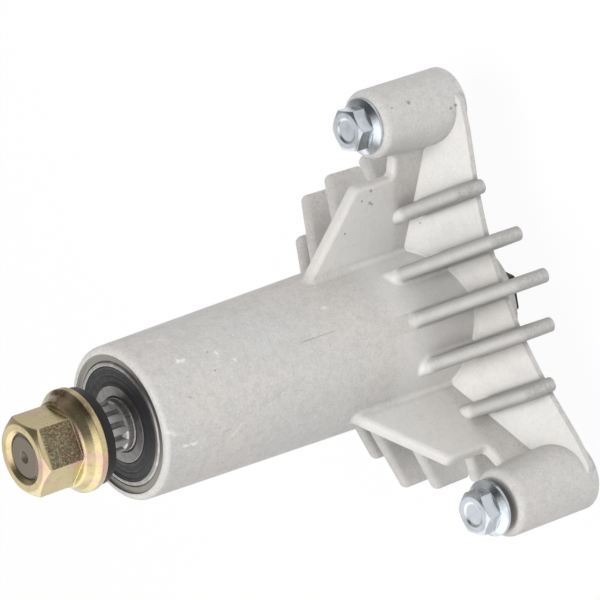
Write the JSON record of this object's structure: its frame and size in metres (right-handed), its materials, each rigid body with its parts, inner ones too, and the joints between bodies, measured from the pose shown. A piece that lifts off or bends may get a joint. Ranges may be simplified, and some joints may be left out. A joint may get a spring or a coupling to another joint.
{
  "type": "mower deck spindle",
  "caption": "Mower deck spindle: ribbed three-sided aluminium housing with a long tube, splined shaft on sealed bearings, flange nut with washer, and deck bolts.",
  "frame": {"origin": "on the shaft's axis, in the plane of the three boss faces that the deck sheet lies on", "axes": "+Z along the shaft, up the tube toward the nut; -Y out of the middle of one side of the three-sided base, so one boss lies along +Y"},
  "size_m": [0.1512, 0.1458, 0.1981],
  "materials": {
    "cast_aluminium": "satin die-cast skin",
    "shaft_steel": "machined, dark",
    "yellow_zinc": "yellow zinc plating",
    "black_steel": "black oxide",
    "bearing_steel": "ground",
    "ball_steel": "polished",
    "cage_plastic": "moulded",
    "seal_rubber": "moulded, matt",
    "zinc_steel": "bright zinc plating"
  },
  "bodies": {
    "housing": {"housing": "cast_aluminium", "upper_outer_ring": "bearing_steel", "upper_outer_seal": "seal_rubber", "upper_inner_seal": "seal_rubber", "lower_outer_ring": "bearing_steel", "lower_outer_seal": "seal_rubber", "lower_inner_seal": "seal_rubber", "deck_bolt_a": "zinc_steel", "deck_bolt_b": "zinc_steel", "deck_bolt_c": "zinc_steel"},
    "spindle": {"spindle_shaft": "shaft_steel", "spindle_nut": "yellow_zinc", "nut_washer": "black_steel", "upper_inner_ring": "bearing_steel", "lower_inner_ring": "bearing_steel", "bearing_spacer": "shaft_steel"},
    "upper_ball_set": {"upper_balls": "ball_steel", "upper_cage": "cage_plastic"},
    "lower_ball_set": {"lower_balls": "ball_steel", "lower_cage": "cage_plastic"}
  },
  "joints": [
    {"name": "spindle_spin", "type": "hinge", "parent": "housing", "child": "spindle", "pos_m": [0, 0, 0], "axis": [0, 0, 1], "continuous": true},
    {"name": "upper_balls_spin", "type": "hinge", "parent": "housing", "child": "upper_ball_set", "pos_m": [0, 0, 0.0938], "axis": [0, 0, 1], "continuous": true},
    {"name": "lower_balls_spin", "type": "hinge", "parent": "housing", "child": "lower_ball_set", "pos_m": [0, 0, -0.0415], "axis": [0, 0, 1], "continuous": true}
  ],
  "couplings": [
    {"joint": "upper_balls_spin", "follows": "spindle_spin", "ratio": 0.3816},
    {"joint": "lower_balls_spin", "follows": "spindle_spin", "ratio": 0.3816}
  ]
}
